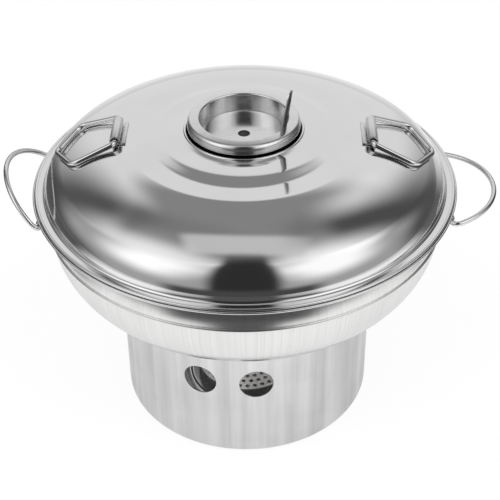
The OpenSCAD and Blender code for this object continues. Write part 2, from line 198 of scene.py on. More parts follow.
def closed_up(bm: bmesh.types.BMesh, merge: float = 0.002) -> bmesh.types.BMesh:
    """Merges a bmesh's doubles, closes its poles and turns its faces outwards."""
    bmesh.ops.remove_doubles(bm, verts=bm.verts, dist=merge * MM)
    bmesh.ops.dissolve_degenerate(bm, edges=bm.edges, dist=0.5 * merge * MM)
    bmesh.ops.recalc_face_normals(bm, faces=bm.faces)
    return bm


def spun(section: Outline, to_axis: bool = False) -> bmesh.types.BMesh:
    """Spins a section round the pot's axis.

    Args:
        section: Points of the section, as radius and height.
        to_axis: True if both its ends lie on the axis, so no edge joins them.

    Returns:
        The closed bmesh.
    """
    bm = bmesh.new()
    verts = [bm.verts.new((p.x * MM, 0, p.y * MM)) for p in section]
    for a, b in zip(verts, verts[1:]):
        bm.edges.new((a, b))
    if not to_axis:
        bm.edges.new((verts[-1], verts[0]))
    bmesh.ops.spin(
        bm, geom=bm.verts[:] + bm.edges[:], cent=(0, 0, 0), axis=(0, 0, 1),
        angle=math.tau, steps=SPIN_STEPS, use_merge=True)
    return closed_up(bm)


def pivot(joint: str) -> Vector:
    """The place of a hinge in the frame, in millimetres."""
    joints = frame["record"]["behaviour"]["joints"]
    place = next(j["pos_m"] for j in joints if j["name"] == joint)
    return Vector(place) / MM


class BentWire:
    """A round wire bent in the XY plane, drawn out from a circle by straight runs and right-hand bends."""

    def __init__(self, radius: float, start: Vector, heading: Vector) -> None:
        """Puts the circle at the start of the wire.

        Args:
            radius: Radius of the wire.
            start: First point of its middle line.
            heading: Direction in which it sets out.
        """
        self.bm = bmesh.new()
        self.place = start.copy()
        self.heading = heading.normalized()
        ring = bmesh.ops.create_circle(self.bm, segments=WIRE_SIDES, radius=radius * MM)
        stand = Matrix((self.heading.cross(Vector((0, 0, 1))), Vector((0, 0, 1)), self.heading)).transposed()
        matrix = Matrix.Translation(start * MM) @ stand.to_4x4()
        bmesh.ops.transform(self.bm, matrix=matrix, verts=ring["verts"])
        self.ring = self.bm.edges[:]

    def straight(self, length: float, step: float = RUN_STEP) -> None:
        """Draws the wire straight on."""
        count = max(1, math.ceil(length / step))
        for _ in range(count):
            drawn = bmesh.ops.extrude_edge_only(self.bm, edges=self.ring)["geom"]
            verts = {g for g in drawn if isinstance(g, bmesh.types.BMVert)}
            bmesh.ops.translate(self.bm, verts=list(verts), vec=self.heading * (length / count * MM))
            edges = [g for g in drawn if isinstance(g, bmesh.types.BMEdge)]
            self.ring = [e for e in edges if verts.issuperset(e.verts)]
        self.place += self.heading * length

    def bend(self, radius: float, turn: float) -> None:
        """Bends the wire to its right round a former of that radius, by an angle."""
        up = Vector((0, 0, 1))
        centre = self.place + self.heading.cross(up) * radius
        verts = {v for e in self.ring for v in e.verts}
        steps = max(4, math.ceil(turn / 6))
        drawn = bmesh.ops.spin(
            self.bm, geom=list(verts) + self.ring, cent=centre * MM, axis=-up,
            angle=math.radians(turn), steps=steps)["geom_last"]
        self.ring = [g for g in drawn if isinstance(g, bmesh.types.BMEdge)]
        rotation = Matrix.Rotation(math.radians(-turn), 3, "Z")
        self.place = centre + rotation @ (self.place - centre)
        self.heading = rotation @ self.heading

    def run(self, corners: list[tuple[Vector, float]], end: Vector) -> None:
        """Draws the wire past corners that turn to the right.

        Args:
            corners: Each corner's point and bend radius.
            end: Last point of the middle line.
        """
        points = [corner for corner, _ in corners] + [end]
        for i, (corner, radius) in enumerate(corners):
            onward = (points[i + 1] - corner).normalized()
            turn = self.heading.angle(onward)
            reach = radius * math.tan(turn / 2)
            self.straight((corner - self.place).length - reach)
            self.bend(radius, math.degrees(turn))
        self.straight((end - self.place).length)

    def finish(self, matrix: Matrix) -> bmesh.types.BMesh:
        """Puts the wire in place and closes its ends."""
        bmesh.ops.transform(self.bm, matrix=matrix, verts=self.bm.verts)
        bmesh.ops.remove_doubles(self.bm, verts=self.bm.verts, dist=0.02 * MM)
        open_edges = [e for e in self.bm.edges if e.is_boundary]
        bmesh.ops.holes_fill(self.bm, edges=open_edges, sides=0)
        return closed_up(self.bm)


def bent_strip(path: Outline, width: float, thickness: float, ease: float) -> bmesh.types.BMesh:
    """A strip of sheet bent along a path in the XZ plane.

    Args:
        path: The middle of the sheet, as X and Z.
        width: Width of the strip along Y.
        thickness: Thickness of the sheet.
        ease: Rounding of its edges.

    Returns:
        The closed bmesh, centred on Y.
    """
    bm = bmesh.new()
    verts = [bm.verts.new((p.x * MM, -width / 2 * MM, p.y * MM)) for p in beside(path, thickness / 2)]
    edges = [bm.edges.new((a, b)) for a, b in zip(verts, verts[1:])]
    drawn = bmesh.ops.extrude_edge_only(bm, edges=edges)["geom"]
    far = [g for g in drawn if isinstance(g, bmesh.types.BMVert)]
    bmesh.ops.translate(bm, verts=far, vec=(0, width * MM, 0))
    bmesh.ops.recalc_face_normals(bm, faces=bm.faces)
    first = edges[0].link_faces[0]
    first.normal_update()
    start = path[1] - path[0]
    to_right = Vector((start.y, 0, -start.x))
    if first.normal.dot(to_right) < 0:
        bmesh.ops.reverse_faces(bm, faces=bm.faces)
    bmesh.ops.solidify(bm, geom=bm.faces[:], thickness=thickness * MM)
    closed_up(bm)
    corners = [e for e in bm.edges if len(e.link_faces) == 2 and e.calc_face_angle() > math.radians(60)]
    bmesh.ops.bevel(
        bm, geom=corners, offset=ease * MM, offset_type="OFFSET", affect="EDGES", segments=2, profile=0.5,
        material=-1, clamp_overlap=True)
    return closed_up(bm)


class Graph:
    """A node tree that is filled node by node."""

    def __init__(self, tree: bpy.types.NodeTree) -> None:
        """Starts with an empty tree."""
        self.tree = tree
        tree.nodes.clear()

    def add(self, kind: str, inputs: dict | None = None, **settings) -> bpy.types.Node:
        """Adds a node.

        Args:
            kind: The node's type, without its ShaderNode prefix.
            inputs: Its inputs, by name or number: a socket to link, or a value.
            settings: Its properties.

        Returns:
            The node.
        """
        prefix = "" if kind.startswith("NodeGroup") else "ShaderNode"
        node = self.tree.nodes.new(prefix + kind)
        for key, value in settings.items():
            setattr(node, key, value)
        for key, value in (inputs or {}).items():
            if isinstance(value, bpy.types.NodeSocket):
                self.tree.links.new(value, node.inputs[key])
            else:
                node.inputs[key].default_value = value
        return node

    def math(self, operation: str, a, b=0.0, c=0.0) -> bpy.types.NodeSocket:
        """The result of a Math node on sockets or numbers."""
        return self.add("Math", {0: a, 1: b, 2: c}, operation=operation).outputs[0]

    def vector(self, operation: str, a, b=(0.0, 0.0, 0.0)) -> bpy.types.Node:
        """A Vector Math node on sockets or vectors."""
        return self.add("VectorMath", {0: a, 1: b}, operation=operation)

    def blend(self, share, a, b) -> bpy.types.NodeSocket:
        """A value between two, by its share of the second."""
        return self.add("Mix", {0: share, 2: a, 3: b}, data_type="FLOAT").outputs[0]

    def ramp(self, value, low: float, high: float, to_low: float = 0.0, to_high: float = 1.0):
        """The value mapped smoothly from one range to another."""
        inputs = {"Value": value, "From Min": low, "From Max": high, "To Min": to_low, "To Max": to_high}
        return self.add("MapRange", inputs, interpolation_type="SMOOTHSTEP").outputs["Result"]

    def noise(self, vector, scale: float, detail: float = 2.0, along=None) -> bpy.types.NodeSocket:
        """A noise value on a vector, or on a vector and one more axis."""
        inputs = {"Vector": vector, "Scale": scale, "Detail": detail}
        if along is None:
            return self.add("TexNoise", inputs).outputs[0]
        inputs["W"] = along
        return self.add("TexNoise", inputs, noise_dimensions="4D").outputs[0]


def new_group(
        name: str, inputs: dict[str, tuple[str, object]], outputs: list[str],
) -> tuple[Graph, dict, bpy.types.Node]:
    """Starts a shader node group with named sockets.

    Args:
        name: Name of the group.
        inputs: Each input's socket kind and default.
        outputs: Names of its value outputs.

    Returns:
        The group's graph, its input sockets by name and its output node.
    """
    tree = bpy.data.node_groups.new(name, "ShaderNodeTree")
    graph = Graph(tree)
    for socket, (kind, default) in inputs.items():
        made = tree.interface.new_socket(socket, in_out="INPUT", socket_type="NodeSocket" + kind)
        if kind == "Float":
            made.default_value = default
    for socket in outputs:
        tree.interface.new_socket(socket, in_out="OUTPUT", socket_type="NodeSocketFloat")
    entry = graph.add("NodeGroupInput")
    leave = graph.add("NodeGroupOutput")
    return graph, {name: entry.outputs[name] for name in inputs}, leave


def lathe_marks() -> bpy.types.NodeTree:
    """The marks that turning leaves round the pot's axis: fine rings and broad rings. It also gives upright
    streaks, which the colour uses as brushing grain and, where strong, as painted light and dark sheen bands.
    """
    graph, given, leave = new_group(
        "lathe_marks",
        {"Vector": ("Vector", None), "Rings Up": ("Float", 900.0), "Rings Out": ("Float", 900.0),
         "Streaks": ("Float", 9.0)},
        ["Rings", "Bands", "Streaks"])
    parts = graph.add("SeparateXYZ", {0: given["Vector"]}).outputs
    flat = graph.add("CombineXYZ", {0: parts[0], 1: parts[1]}).outputs[0]
    radius = graph.vector("LENGTH", flat).outputs["Value"]
    round_axis = graph.vector("NORMALIZE", flat).outputs[0]
    up = graph.math("MULTIPLY", parts[2], given["Rings Up"])
    along = graph.math("MULTIPLY_ADD", radius, given["Rings Out"], up)
    broad = graph.math("MULTIPLY", along, 0.06)
    rings = graph.noise(round_axis, 1.6, 3.0, along)
    bands = graph.noise(round_axis, 0.8, 2.0, broad)
    streak_scale = graph.vector("SCALE", round_axis)
    graph.tree.links.new(given["Streaks"], streak_scale.inputs["Scale"])
    lengths = graph.math("MULTIPLY", parts[2], 4.0)
    streaks = graph.noise(streak_scale.outputs[0], 1.0, 4.0, lengths)
    for name, socket in (("Rings", rings), ("Bands", bands), ("Streaks", streaks)):
        graph.tree.links.new(socket, leave.inputs[name])
    return graph.tree


def handling_marks() -> bpy.types.NodeTree:
    """The marks of use: soft smudges and sparse fine scratches."""
    graph, given, leave = new_group(
        "handling_marks", {"Vector": ("Vector", None), "Scale": ("Float", 1.0)}, ["Smudges", "Scratches"])
    scaled = graph.vector("SCALE", given["Vector"])
    graph.tree.links.new(given["Scale"], scaled.inputs["Scale"])
    smudges = graph.ramp(graph.noise(scaled.outputs[0], 26.0, 5.0), 0.42, 0.66)
    warp = graph.vector("MULTIPLY", scaled.outputs[0], (260.0, 260.0, 46.0)).outputs[0]
    wander = graph.noise(warp, 1.0, 1.0)
    off = graph.math("ABSOLUTE", graph.math("SUBTRACT", wander, 0.5))
    lines = graph.ramp(off, 0.012, 0.0)
    sparse = graph.ramp(graph.noise(scaled.outputs[0], 60.0, 2.0), 0.58, 0.68)
    scratches = graph.math("MULTIPLY", lines, sparse)
    for name, socket in (("Smudges", smudges), ("Scratches", scratches)):
        graph.tree.links.new(socket, leave.inputs[name])
    return graph.tree


@dataclass(frozen=True)
class SteelFinish:
    """A finish of bare stainless steel.

    Attributes:
        name: Name of the finish.
        slot: The record's material slot; not used.
        shade: Base colour where it is clean.
        dulled: How much smudges and bands darken it.
        roughness: Roughness where it is clean.
        roughness_more: Roughness that marks add.
        rings_up: Turned rings in a metre of height.
        rings_out: Turned rings in a metre of radius.
        ring_depth: Strength of the rings' relief.
        streaks: Upright streaks round the axis, as a noise scale.
        streak_weight: How much streaks change the base colour. They are brushing grain, and where the weight
            is strong, as on the satin stand and chimney, they are painted light and dark sheen bands.
        anisotropy: Stretch of the gloss across the rings.
        scratch_depth: Strength of the scratches' relief.
        grain_depth: Strength of a fine speckled relief.
        edge_tint: Share of the light that its edges mirror.
    """

    name: str
    slot: str
    shade: tuple[float, float, float]
    dulled: float
    roughness: float
    roughness_more: float
    rings_up: float = 900.0
    rings_out: float = 900.0
    ring_depth: float = 0.0
    streaks: float = 9.0
    streak_weight: float = 0.0
    anisotropy: float = 0.0
    scratch_depth: float = 0.02
    grain_depth: float = 0.0
    edge_tint: float = 1.0

    def material(self, groups: dict[str, bpy.types.NodeTree]) -> bpy.types.Material:
        """Makes the finish's material.

        Args:
            groups: The node groups of marks, by name.

        Returns:
            The material, named for the finish.
        """
        material = bpy.data.materials.new(self.name)
        material.use_nodes = True
        graph = Graph(material.node_tree)
        place = graph.add("TexCoord").outputs["Object"]
        lathe_and_sheen = graph.add("Group", node_tree=groups["lathe_marks"])
        used = graph.add("Group", node_tree=groups["handling_marks"])
        for node in (lathe_and_sheen, used):
            graph.tree.links.new(place, node.inputs["Vector"])
        lathe_and_sheen.inputs["Rings Up"].default_value = self.rings_up
        lathe_and_sheen.inputs["Rings Out"].default_value = self.rings_out
        lathe_and_sheen.inputs["Streaks"].default_value = self.streaks
        # Upright streaks in the colour are brushing grain. Where the weight is strong, they are painted light
        # and dark sheen bands that stand in for reflections.
        streak_and_sheen = graph.math("SUBTRACT", lathe_and_sheen.outputs["Streaks"], 0.5)
        band = graph.math("SUBTRACT", lathe_and_sheen.outputs["Bands"], 0.5)
        wear = graph.math("MULTIPLY_ADD", used.outputs["Smudges"], 0.5, band)
        worn = graph.math("MULTIPLY", wear, self.dulled)
        stain_and_sheen = graph.math("MULTIPLY_ADD", streak_and_sheen, self.streak_weight, worn)
        factor = graph.math("ADD", stain_and_sheen, 0.5)
        dark = tuple(c * 0.5 for c in self.shade)
        light = tuple(c * 1.5 for c in self.shade)
        colour = graph.add("Mix", {0: factor, 6: (*light, 1.0), 7: (*dark, 1.0)}, data_type="RGBA")
        marks = graph.math("MAXIMUM", used.outputs["Smudges"], used.outputs["Scratches"])
        uneven = graph.math("MULTIPLY_ADD", lathe_and_sheen.outputs["Rings"], 0.5, graph.math("MULTIPLY", marks, 0.5))
        rough = graph.math("MULTIPLY_ADD", uneven, self.roughness_more, self.roughness)
        relief = graph.math(
            "MULTIPLY_ADD", lathe_and_sheen.outputs["Rings"], self.ring_depth,
            graph.math("MULTIPLY", used.outputs["Scratches"], -self.scratch_depth))
        if self.grain_depth:
            grain = graph.noise(place, GRAIN_SCALE, 3.0)
            relief = graph.math("MULTIPLY_ADD", grain, self.grain_depth, relief)
        bump = graph.add("Bump", {"Height": relief, "Strength": 1.0, "Distance": 0.0001})
        shader = graph.add("BsdfPrincipled", {
            "Base Color": colour.outputs[2], "Roughness": rough, "Metallic": 1.0, "Normal": bump.outputs[0],
            "Anisotropic": self.anisotropy, "Specular Tint": (*[self.edge_tint] * 3, 1.0)})
        if self.anisotropy:
            tangent = graph.add("Tangent", direction_type="RADIAL", axis="Z")
            graph.tree.links.new(tangent.outputs[0], shader.inputs["Tangent"])
        out = graph.add("OutputMaterial")
        graph.tree.links.new(shader.outputs[0], out.inputs["Surface"])
        return material


POLISHED = SteelFinish(
    "polished_steel", "polished_steel", (0.80, 0.80, 0.80), 0.04, 0.06, 0.05, rings_up=300, rings_out=1200,
    ring_depth=0.004)
CUP_POLISH = SteelFinish(
    "cup_polish", "polished_steel", (0.76, 0.76, 0.76), 0.06, 0.13, 0.10, rings_up=900, rings_out=900,
    ring_depth=0.01, streaks=12, streak_weight=0.25, anisotropy=0.4)
BRUSHED = SteelFinish(
    "brushed_steel", "brushed_steel", (0.78, 0.78, 0.775), 0.06, 0.18, 0.08, rings_up=900, rings_out=900,
    ring_depth=0.006, streaks=150, streak_weight=0.3, anisotropy=0.5)
# The strong upright streaks in this finish's base colour are painted reflection: light and dark sheen bands
# on the stand and chimney.
SATIN = SteelFinish(
    "satin_steel", "satin_steel", (0.69, 0.69, 0.695), 0.10, 0.30, 0.10, rings_up=700, rings_out=1500,
    ring_depth=0.01, streaks=9, streak_weight=0.8, anisotropy=0.75, scratch_depth=0.05)
WIRE = SteelFinish(
    "wire_steel", "wire_steel", (0.80, 0.80, 0.80), 0.05, 0.05, 0.05, rings_up=200, rings_out=200,
    edge_tint=0.15)
STRAP = SteelFinish(
    "strap_steel", "wire_steel", (0.80, 0.80, 0.80), 0.05, 0.34, 0.08, rings_up=200, rings_out=200)
BURNER = SteelFinish(
    "burner_steel", "burner_steel", (0.66, 0.65, 0.64), 0.35, 0.42, 0.20, rings_up=600, rings_out=900,
    ring_depth=0.02, grain_depth=4.0)
FINISHES = (POLISHED, CUP_POLISH, BRUSHED, SATIN, WIRE, STRAP, BURNER)


class Workshop:
    """Holds the materials, and hands out finished pieces to the frame."""

    def __init__(self) -> None:
        """Makes the shared groups and every finish."""
        groups = {tree.name: tree for tree in (lathe_marks(), handling_marks())}
        self.materials = {finish.name: finish.material(groups) for finish in FINISHES}

    def hand_over(self, piece: bpy.types.Object, finish: SteelFinish, body: str, node: str) -> None:
        """Dresses a piece and puts it in the place of a CAD node.

        Args:
            piece: The finished piece.
            finish: Its finish.
            body: The body that it rides on.
            node: The CAD node that it stands for.
        """
        piece.data.materials.append(self.materials[finish.name])
        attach(piece, body)
        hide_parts(node)
        LOG.info("%s stands for %s on %s in %s", piece.name, node, body, finish.name)

    def dress_node(self, node: str, finish: SteelFinish) -> None:
        """Gives a CAD node that stays in view its finish."""
        mesh = frame["nodes"][node].data
        mesh.materials.clear()
        mesh.materials.append(self.materials[finish.name])
        LOG.info("%s keeps its own shape in %s", node, finish.name)


@dataclass
class FireStand:
    """The drawn cup that holds the burner, with two pairs of air holes."""

    radius: float = 93.2
    height: float = 101.45
    corner: float = 4.0
    edge_radius: float = 1.4
    burner_radius: float = 38.0
    ring_gap: float = 6.0
    ring_width: float = 6.0
    ring_height: float = 1.5
    hole_radius: float = 12.25
    hole_height: float = 67.7
    hole_pitch: float = 25.3
    hole_turn: float = -8.7
    hole_ease: float = 0.3

    def section(self) -> Outline:
        """The section of the cup, from the middle of its floor's inside to the middle of its underside."""
        edge = at(self.radius - self.edge_radius, self.height - self.edge_radius)
        inner = self.burner_radius + self.ring_gap
        outer = inner + self.ring_width
        foot = at(self.radius - self.corner, self.corner)
        outside = [at(self.radius, edge.y)]
        outside += arc(foot, self.corner, 0, -90, 10)
        outside += [
            at(outer, 0), at(outer - self.ring_height, self.ring_height),
            at(inner + self.ring_height, self.ring_height), at(inner, 0), at(0, 0)]
        inside = beside(outside, SHEET)
        meets = math.degrees(math.acos((self.edge_radius - SHEET) / self.edge_radius))
        curl = arc(edge, self.edge_radius, 360 - meets, 0, 12)
        wall_in = dense(eased(inside[1:], 0.8))[::-1]
        return wall_in + curl + dense(eased(outside, 0.8))[1:]

    def holes(self) -> list[float]:
        """The directions of the air holes, from +X."""
        turns = [-0.5 * self.hole_pitch, 0.5 * self.hole_pitch]
        return [side - 90 + self.hole_turn + turn for side in (0, 180) for turn in turns]

    def pierce(self, shell: bpy.types.Object) -> None:
        """Cuts the air holes and eases their edges."""
        bm = bmesh.new()
        for angle in self.holes():
            made = bmesh.ops.create_cone(
                bm, cap_ends=True, segments=64, radius1=self.hole_radius * MM, radius2=self.hole_radius * MM,
                depth=self.radius * MM)
            lay = Matrix.Rotation(math.radians(90), 4, "Y")
            out = Matrix.Translation((self.radius * MM, 0, self.hole_height * MM))
            turn = Matrix.Rotation(math.radians(angle), 4, "Z")
            bmesh.ops.transform(bm, matrix=turn @ out @ lay, verts=made["verts"])
        bmesh.ops.recalc_face_normals(bm, faces=bm.faces)
        punch = mesh_piece("air_hole_punch", bm)
        cut = shell.modifiers.new("air_holes", "BOOLEAN")
        cut.object = punch
        cut.solver = "EXACT"
        graph = bpy.context.evaluated_depsgraph_get()
        bm = bmesh.new()
        bm.from_object(shell, graph)
        shell.modifiers.clear()
        bpy.data.objects.remove(punch)
        closed_up(bm)
        rims = [e for e in bm.edges if e.calc_face_angle(0) > math.radians(45) and self.on_hole(e)]
        bmesh.ops.bevel(
            bm, geom=rims, offset=self.hole_ease * MM, offset_type="OFFSET", affect="EDGES", segments=2,
            profile=0.5, material=-1, clamp_overlap=True)
        closed_up(bm)
        bm.to_mesh(shell.data)
        bm.free()
        shell.data.shade_smooth()
        shell.data.set_sharp_from_angle(angle=math.radians(SHARP_ANGLE))

    def on_hole(self, edge: bmesh.types.BMEdge) -> bool:
        """True if both ends of an edge lie on the wall of an air hole."""
        return all(self.near_hole(vert.co / MM) for vert in edge.verts)

    def near_hole(self, point: Vector) -> bool:
        """True if a point lies on the wall of an air hole."""
        for angle in self.holes():
            lathe_and_sheen = Matrix.Rotation(math.radians(-angle), 3, "Z") @ point
            reach = math.hypot(lathe_and_sheen.y, lathe_and_sheen.z - self.hole_height)
            if lathe_and_sheen.x > 0 and abs(reach - self.hole_radius) < 0.05:
                return True
        return False

    def build(self, shop: Workshop) -> None:
        """Builds and dresses the stand."""
        shell = mesh_piece("fire_stand", spun(self.section(), to_axis=True))
        self.pierce(shell)
        shop.hand_over(shell, SATIN, "stand", "stand_shell")


@dataclass
class Burner:
    """The low dish on the stand's floor, with its perforated plate."""

    radius: float = 38.0
    height: float = 10.0
    sheet: float = 0.8
    plate_depth: float = 1.4
    ledge: float = 1.8
    corner: float = 2.0

    def build(self, shop: Workshop) -> None:
        """Builds and dresses the burner."""
        top = SHEET + self.height
        plate = top - self.plate_depth
        wall = self.radius - self.ledge
        path = [at(self.radius, top), at(self.radius, plate - self.sheet), at(wall, plate - 2 * self.sheet)]
        path += arc(at(wall - self.corner, SHEET + self.corner), self.corner, 0, -90, 15)
        path += [at(0, SHEET)]
        section = sheet_section(path, self.sheet, 0.3)
        half = len(section) // 2
        ordered = section[half:] + section[:half]
        dish = mesh_piece("burner_dish_drawn", spun(ordered, to_axis=True))
        shop.hand_over(dish, BURNER, "stand", "burner_dish")
        shop.dress_node("burner_gauze", BURNER)


@dataclass
class Pot:
    """The ring-shaped bowl and the fire chimney through it."""

    base: float = 101.146
    rim_radius: float = 150.0
    rim_bead: float = 0.8
    rim_height: float = 79.5
    rim_out: float = -120.0
    rim_in: float = 190.0
    band_taper: float = 9.6
    neck_in: float = 3.6
    neck_height: float = 10.5
    neck_ease: float = 0.8
    band_swell: float = 0.35
    band_steps: int = 10
    curve: float = 57.0
    wall_bead: float = 1.6
    wall_bead_height: float = 1.8
    wall_bead_from: float = 75.0
    wall_bead_to: float = -85.0
    chimney_radius: float = 36.05
    chimney_foot: float = 50.0
    chimney_gap: float = 0.3
    cone_height: float = 89.0
    chimney_height: float = 129.4
    flange: float = 6.0

    def bowl_section(self) -> Outline:
        """The section of the bowl, with its rolled rim and the bead under its band."""
        rim = at(self.rim_radius - self.rim_bead, self.base + self.rim_height)
        start = self.rim_radius - self.band_taper
        curve = at(start - self.curve, self.base + self.curve)
        top = around(rim, self.rim_bead, self.rim_out)
        foot = at(start, curve.y + self.wall_bead_height)
        lower = arc(curve, self.curve, 0, -90, 2) + [at(self.chimney_foot, self.base)]
        bead = (foot + lower[0]) / 2
        pressed = arc(bead, self.wall_bead, self.wall_bead_from, self.wall_bead_to, 12)
        necked = eased([top] + self.band(), self.neck_ease, steps=10)
        outside = necked[:-1] + pressed + lower[1:]
        inside = beside(necked[:-1] + [foot] + lower, SHEET)[1:]
        roll = arc(rim, self.rim_bead, self.rim_in, self.rim_out, 12)
        return dense(eased(outside, 0.5, 20)) + dense(eased(inside, 0.5, 20))[::-1] + roll[:-1]

    def chimney_section(self) -> Outline:
        """The section of the chimney: flange, cone and straight top."""
        path = [
            at(self.chimney_foot + self.flange, self.base),
            at(self.chimney_foot - self.chimney_gap, self.base),
            at(self.chimney_radius, self.base + self.cone_height),
            at(self.chimney_radius, self.base + self.chimney_height)]
        return sheet_section(path, -SHEET, 1.5)

    def build(self, shop: Workshop) -> None:
        """Builds and dresses the bowl and the chimney."""
        bowl = mesh_piece("ring_bowl", spun(self.bowl_section()))
        shop.hand_over(bowl, BRUSHED, "pot", "pot_bowl")
        chimney = mesh_piece("fire_chimney", spun(self.chimney_section()))
        shop.hand_over(chimney, SATIN, "pot", "chimney_tube")

    def band_top(self) -> Vector:
        """The place where the band meets the rolled rim."""
        rim = at(self.rim_radius - self.rim_bead, self.base + self.rim_height)
        return around(rim, self.rim_bead, self.rim_out)

    def band_end(self) -> Vector:
        """The place where the band meets the bead at its foot."""
        start = self.rim_radius - self.band_taper
        middle = at(start, self.base + self.curve + self.wall_bead_height / 2)
        return around(middle, self.wall_bead, self.wall_bead_from)

    def neck(self) -> Vector:
        """The narrowest place of the band, before it is rounded."""
        return self.band_end() + at(-self.neck_in, self.neck_height)

    def band(self) -> Outline:
        """The slightly swelled band, from its neck down to its foot."""
        neck = self.neck()
        end = self.band_end()
        shares = [i / self.band_steps for i in range(self.band_steps + 1)]
        return [neck.lerp(end, t) + at(4 * self.band_swell * t * (1 - t), 0) for t in shares]

    def band_at(self, height: float) -> float:
        """Outer radius of the band, or of the flare over it, at a height."""
        neck = self.neck()
        end = self.band_end() if height < neck.y else self.band_top()
        share = (height - neck.y) / (end.y - neck.y)
        swell = 4 * self.band_swell * share * (1 - share) if height < neck.y else 0.0
        return neck.x + (end.x - neck.x) * share + swell


@dataclass
class SideHandle:
    """A wire handle of the bowl, with the two strap eyes that hold its ends."""

    side: Side
    raised: float
    pot: Pot
    wire: float = 1.7
    reach: float = 35.6
    half_width: float = 44.3
    pivot_bend: float = 4.0
    shoulder: float = 8.0
    stub: float = 5.0
    eye_length: float = 4.0
    eye_gap: float = 0.2
    stub_gap: float = 0.3
    foot: float = 7.7

    def hinge(self) -> Vector:
        """The place of the handle's pivots."""
        return pivot(f"{self.side.word}_side_handle_swing")

    def bend_wire(self) -> bmesh.types.BMesh:
        """The handle's wire, from one pivot round to the other."""
        start = self.half_width - self.pivot_bend - self.stub
        rise = self.reach - self.pivot_bend
        flat = self.half_width - self.shoulder
        sweep = (rise ** 2 + flat ** 2 - self.shoulder ** 2) / (2 * (rise - self.shoulder))
        half_sweep = math.degrees(math.atan2(flat, self.pivot_bend - self.reach + sweep))
        wire = BentWire(self.wire, Vector((0, start, 0)), Vector((0, 1, 0)))
        wire.straight(self.stub)
        wire.bend(self.pivot_bend, 90)
        wire.bend(self.shoulder, 90 - half_sweep)
        wire.bend(sweep, 2 * half_sweep)
        wire.bend(self.shoulder, 90 - half_sweep)
        wire.bend(self.pivot_bend, 90)
        wire.straight(self.stub)
        raise_up = Matrix.Rotation(math.radians(-self.raised), 4, "Y")
        flip = Matrix.Diagonal((self.side.value, 1, 1, 1))
        return wire.finish(Matrix.Translation(self.hinge() * MM) @ flip @ raise_up)

    def eye(self, end: End) -> bmesh.types.BMesh:
        """A strap eye round the wire, with its foot on the band."""
        hinge = self.hinge()
        place = end.value * (self.half_width - self.pivot_bend - self.stub_gap - self.eye_length / 2)
        ring = self.wire + self.eye_gap + SHEET / 2
        pivot_x = abs(hinge.x)

        def band(height: float) -> float:
            """X of the band's outside at a height, from the pivot."""
            radius = self.pot.band_at(hinge.z + height)
            return math.sqrt(radius ** 2 - place ** 2) - pivot_x + SHEET / 2

        foot = -self.foot - SHEET
        path = [at(band(foot), foot), at(band(-ring), -ring)]
        path += arc(at(0, 0), ring, -90, 150, 12)
        strap = bent_strip(eased(path, 0.6, 15), self.eye_length, SHEET, 0.15)
        flip = Matrix.Diagonal((self.side.value, 1, 1, 1))
        put = Matrix.Translation(Vector((hinge.x, place, hinge.z)) * MM)
        bmesh.ops.transform(strap, matrix=put @ flip, verts=strap.verts)
        return closed_up(strap)

    def build(self, shop: Workshop) -> None:
        """Builds and dresses the handle and its eyes."""
        word = self.side.word
        loop = mesh_piece(f"{word}_carrying_wire", self.bend_wire())
        shop.hand_over(loop, WIRE, f"{word}_side_handle", f"{word}_side_handle")
        for end in End:
            eye = mesh_piece(f"{word}_{end.word}_strap_eye", self.eye(end))
            shop.hand_over(eye, WIRE, "pot", f"{word}_{end.word}_lug")


